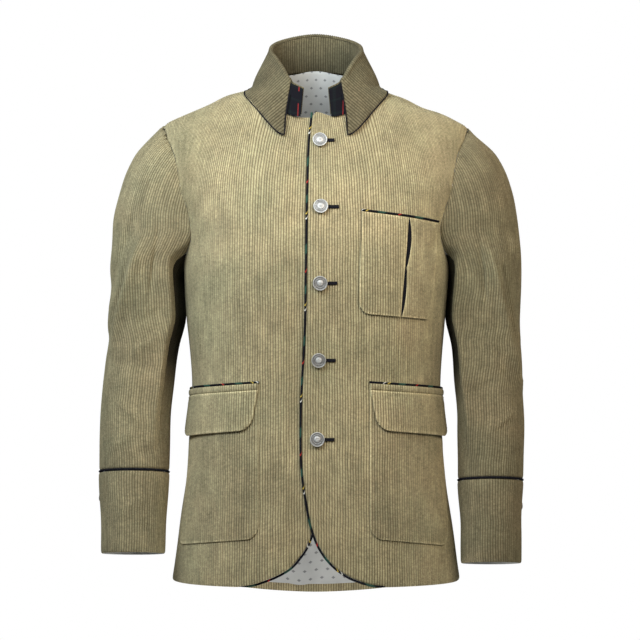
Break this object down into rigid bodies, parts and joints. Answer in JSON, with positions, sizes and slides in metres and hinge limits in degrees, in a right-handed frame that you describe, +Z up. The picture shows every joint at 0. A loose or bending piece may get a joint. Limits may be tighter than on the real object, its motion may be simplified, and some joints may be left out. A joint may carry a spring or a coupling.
{
  "type": "corduroy jacket",
  "caption": "Men's button-front corduroy jacket in olive khaki with dark tartan piping, flapped hip pockets and a pleated chest pocket, filled out with no wearer.",
  "frame": {"origin": "midway between the two points where the shoulder seams meet the neck, where it hangs on a wearer", "axes": "+Z up, -Y out of the front, +X to the wearer's left"},
  "size_m": [0.6197, 0.2933, 0.8393],
  "materials": {
    "corduroy": "wide-wale cotton pile",
    "lining": "smooth woven lining",
    "tartan": "dark tartan twill",
    "metal": "worn silver plate"
  },
  "bodies": {
    "root": {"front_left": "corduroy", "front_right": "corduroy", "back": "corduroy", "sleeve_top_left": "corduroy", "sleeve_under_left": "corduroy", "sleeve_top_right": "corduroy", "sleeve_under_right": "corduroy", "cuff_left": "corduroy", "cuff_right": "corduroy", "collar_stand": "corduroy", "collar_fall": "corduroy", "hip_pocket_left": "corduroy", "hip_pocket_right": "corduroy", "hip_flap_left": "corduroy", "hip_flap_right": "corduroy", "hip_welt_left": "corduroy", "hip_welt_right": "corduroy", "chest_pocket_inner": "corduroy", "chest_pocket_outer": "corduroy", "lining_back": "lining", "front_piping_left": "tartan", "front_piping_right": "tartan", "cuff_piping_left": "tartan", "cuff_piping_right": "tartan", "collar_piping": "tartan", "hip_piping_left": "tartan", "hip_piping_right": "tartan", "chest_piping": "tartan", "chest_pleat": "tartan", "collar_facing_left": "tartan", "collar_facing_right": "tartan", "buttonhole_1": "tartan", "buttonhole_2": "tartan", "buttonhole_3": "tartan", "buttonhole_4": "tartan", "buttonhole_5": "tartan", "button_1": "metal", "button_2": "metal", "button_3": "metal", "button_4": "metal", "button_5": "metal", "cuff_button_left": "metal", "cuff_button_right": "metal"}
  },
  "joints": []
}
